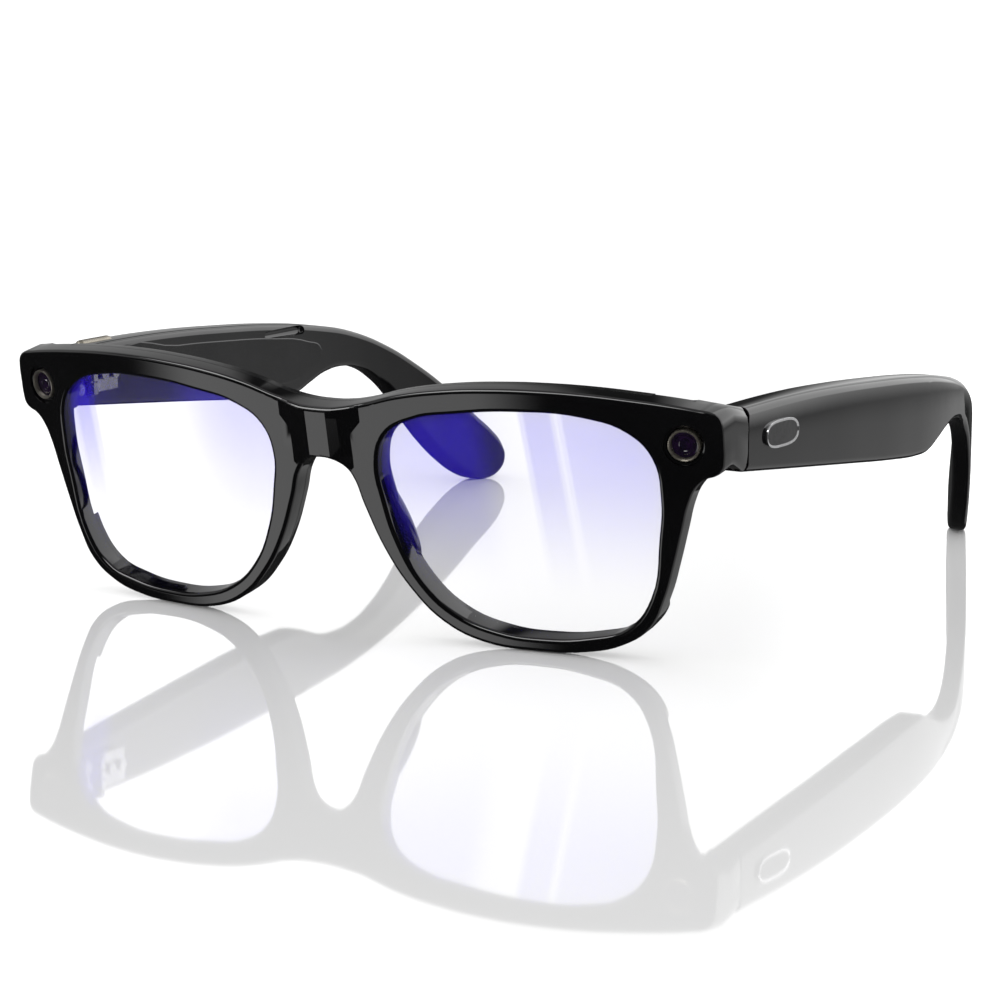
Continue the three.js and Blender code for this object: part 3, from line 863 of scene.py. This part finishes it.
# Capture button on the right temple's top, and the power switch on the left inner cover.
captureButton = {"low": (-69.6, 17.5, 40.5), "high": (-67.2, 27.5, 42.7), "ends": 1.19, "rounding": 0.28}
powerSwitch = {
    "y": (28.4, 31.6),
    "z": (35.95, 37.05),
    "proud": 0.5,
    "sunk": 1.9,
    "rounding": 0.25,
    "ribs": 3,
    "ribFrom": 29,
    "ribPitch": 0.85,
    "ribWidth": 0.35,
    "ribFloor": 0.36,  # the grooves' floor, measured inboard from the temple's inner face
}


def buildButton():
    low, high = captureButton["low"], captureButton["high"]
    piece = addBlock("capture_button", low, high, captureButton["ends"], 6, 2)
    roundEdges(piece, captureButton["rounding"], 3)
    reshape(piece, place)
    settle(piece, "warm_metal", "capture_button", "warm_metal", "capture_button_right")


buildButton()


def buildSwitch():
    inner = innerAt(30)
    (y0, y1), (z0, z1) = powerSwitch["y"], powerSwitch["z"]
    piece = addBlock("power_switch", (inner - powerSwitch["proud"], y0, z0),
                     (inner + powerSwitch["sunk"], y1, z1), powerSwitch["rounding"], 3)
    for step in range(powerSwitch["ribs"]):
        y = powerSwitch["ribFrom"] + step * powerSwitch["ribPitch"]
        carve(piece, addBlock("ribTool", (inner - 1, y, 35),
                              (inner - powerSwitch["ribFloor"], y + powerSwitch["ribWidth"], 38)))
    reshape(piece, place)
    settle(piece, "black_part", "power_switch", "black_part", "power_switch_left")


buildSwitch()

# CAD nodes that stay in view keep their shape and get the finishes above.
for node in nodes.values():
    for spot in node.material_slots:
        plain = spot.material.name.split(".")[0] if spot.material else "black_part"
        spot.material = made[plain if plain in finishes else "black_part"]
print("carried-over parts finished")

# Camera: it looks at a target from an azimuth, an elevation and a distance, with a slight roll.
view = {
    "target": (16.85, -44.37, 20.2),
    "azimuth": 30.039,
    "elevation": 10.426,
    "roll": 0.207,
    "distance": 560.5,
    "lens": 116.44,
    "sensor": 36,
}


def buildCamera():
    eyeData = bpy.data.cameras.new("studioCamera")
    eyeData.lens = view["lens"]
    eyeData.sensor_width = view["sensor"]
    eyeData.clip_end = 50
    camera = bpy.data.objects.new("studioCamera", eyeData)
    bpy.context.scene.collection.objects.link(camera)
    turn = (Matrix.Rotation(math.radians(view["azimuth"]), 4, "Z")
            @ Matrix.Rotation(math.radians(90 - view["elevation"]), 4, "X")
            @ Matrix.Rotation(math.radians(view["roll"]), 4, "Z"))
    back = turn.to_3x3() @ Vector((0, 0, view["distance"]))
    camera.matrix_world = Matrix.Translation((Vector(view["target"]) + back) * mm) @ turn
    bpy.context.scene.camera = camera


buildCamera()

# Pale glossy floor, seen by everything but the object's own gloss.
floorLook = {"size": 8, "tone": 0.82, "rough": 0.035, "ior": 2.1}


def buildFloor():
    bpy.ops.object.select_all(action="DESELECT")
    bpy.ops.mesh.primitive_plane_add(size=floorLook["size"], location=(0, 2, 0))
    floor = bpy.context.active_object
    floor.name = "studioFloor"
    material = bpy.data.materials.new("studioFloor")
    material.use_nodes = True
    shader = material.node_tree.nodes["Principled BSDF"]
    tone = floorLook["tone"]
    shader.inputs["Base Color"].default_value = (tone, tone, tone, 1)
    shader.inputs["Roughness"].default_value = floorLook["rough"]
    shader.inputs["IOR"].default_value = floorLook["ior"]
    floor.data.materials.append(material)
    floor.visible_glossy = False


buildFloor()

# Studio surround: white to the eye, even for soft light, and for gloss a dark room with a few
# bright stretches. Angles are degrees; azimuth runs from straight ahead (-Y) towards +X.
surround = {
    "ambient": 1.0,
    "room": 0.035,
    "stretches": [
        # azimuth from, to, its softness, elevation from, to, its softness, brightness
        (-54, -17, 4, -31.6, -15, 1.6, 1.6),
        (100, 180, 6, -2, 60, 6, 1.75),
        (100, 180, 6, -60, -4, 6, 0.42),
        (-148, -100, 3, -4, 60, 6, 0.4),
        (-180, -156.5, 2.5, -4, 60, 6, 0.95),
        (-100, -40, 8, 20, 40, 8, 0.6),
        (-75, 8, 8, 42, 60, 3, 6),
        (-180, 180, 8, 62, 90, 10, 0.5),
    ],
}


def buildSurround():
    world = bpy.data.worlds.new("studioSurround")
    bpy.context.scene.world = world
    world.use_nodes = True
    tree = world.node_tree
    new, link = tree.nodes.new, tree.links.new
    glow = tree.nodes["Background"]
    spot = new("ShaderNodeTexCoord")
    apart = new("ShaderNodeSeparateXYZ")
    link(spot.outputs["Generated"], apart.inputs["Vector"])

    def combine(kind, a, b=None):
        node = new("ShaderNodeMath")
        node.operation = kind
        for socket, value in zip(node.inputs, (a, b)):
            if value is None:
                continue
            if isinstance(value, (int, float)):
                socket.default_value = value
            else:
                link(value, socket)
        return node.outputs[0]

    def ease(value, start, stop):
        node = new("ShaderNodeMapRange")
        node.interpolation_type = "SMOOTHSTEP"
        link(value, node.inputs["Value"])
        node.inputs["From Min"].default_value = start
        node.inputs["From Max"].default_value = stop
        return node.outputs["Result"]

    toDegrees = 180 / math.pi
    ahead = combine("MULTIPLY", apart.outputs["Y"], -1)
    azimuth = combine("MULTIPLY", combine("ARCTAN2", apart.outputs["X"], ahead), toDegrees)
    elevation = combine("MULTIPLY", combine("ARCSINE", apart.outputs["Z"]), toDegrees)
    total = None
    for a0, a1, wide, e0, e1, tall, bright in surround["stretches"]:
        rise, drop = ease(elevation, e0 - tall, e0 + tall), ease(elevation, e1 + tall, e1 - tall)
        part = combine("MULTIPLY", rise, drop)
        if a0 > -180:
            part = combine("MULTIPLY", part, ease(azimuth, a0 - wide, a0 + wide))
        if a1 < 180:
            part = combine("MULTIPLY", part, ease(azimuth, a1 + wide, a1 - wide))
        part = combine("MULTIPLY", part, bright)
        total = part if total is None else combine("MAXIMUM", total, part)
    gloss = combine("ADD", total, surround["room"])
    path = new("ShaderNodeLightPath")
    lit = new("ShaderNodeMix")
    lit.data_type = "FLOAT"
    link(path.outputs["Is Glossy Ray"], lit.inputs["Factor"])
    lit.inputs["A"].default_value = surround["ambient"]
    link(gloss, lit.inputs["B"])
    link(lit.outputs["Result"], glow.inputs["Strength"])
    glow.inputs["Color"].default_value = (1, 1, 1, 1)


buildSurround()

softBoxes = [
    # name, place, size, watts, floor only
    ("overhead", (0.15, 0.1, 0.9), (0.9, 0.9), 1.0, False),
    ("floorCardBehind", (-3.1, 5.4, 1.1), (12.5, 3), 130, True),
    ("floorCardLeft", (5.4, 3.1, 1.1), (12.5, 3), 130, True),
    ("floorCardAhead", (3.1, -5.4, 1.1), (12.5, 3), 130, True),
    ("floorCardRight", (-5.4, -3.1, 1.1), (12.5, 3), 130, True),
]
floorAlone = bpy.data.collections.new("floorAlone")
floorAlone.objects.link(bpy.data.objects["studioFloor"])
for name, at, size, watts, forFloor in softBoxes:
    light = bpy.data.lights.new(name, "AREA")
    light.shape = "RECTANGLE"
    light.size, light.size_y = size
    light.energy = watts
    lamp = bpy.data.objects.new(name, light)
    bpy.context.scene.collection.objects.link(lamp)
    lamp.location = at
    aim = Vector((0, 0, at[2] if forFloor else 0)) - Vector(at)
    lamp.rotation_euler = aim.to_track_quat("-Z", "Y").to_euler()
    lamp.visible_camera = False
    lamp.visible_glossy = forFloor
    if forFloor:
        lamp.light_linking.receiver_collection = floorAlone
bpy.context.scene.view_settings.view_transform = "Standard"
print("stage set")
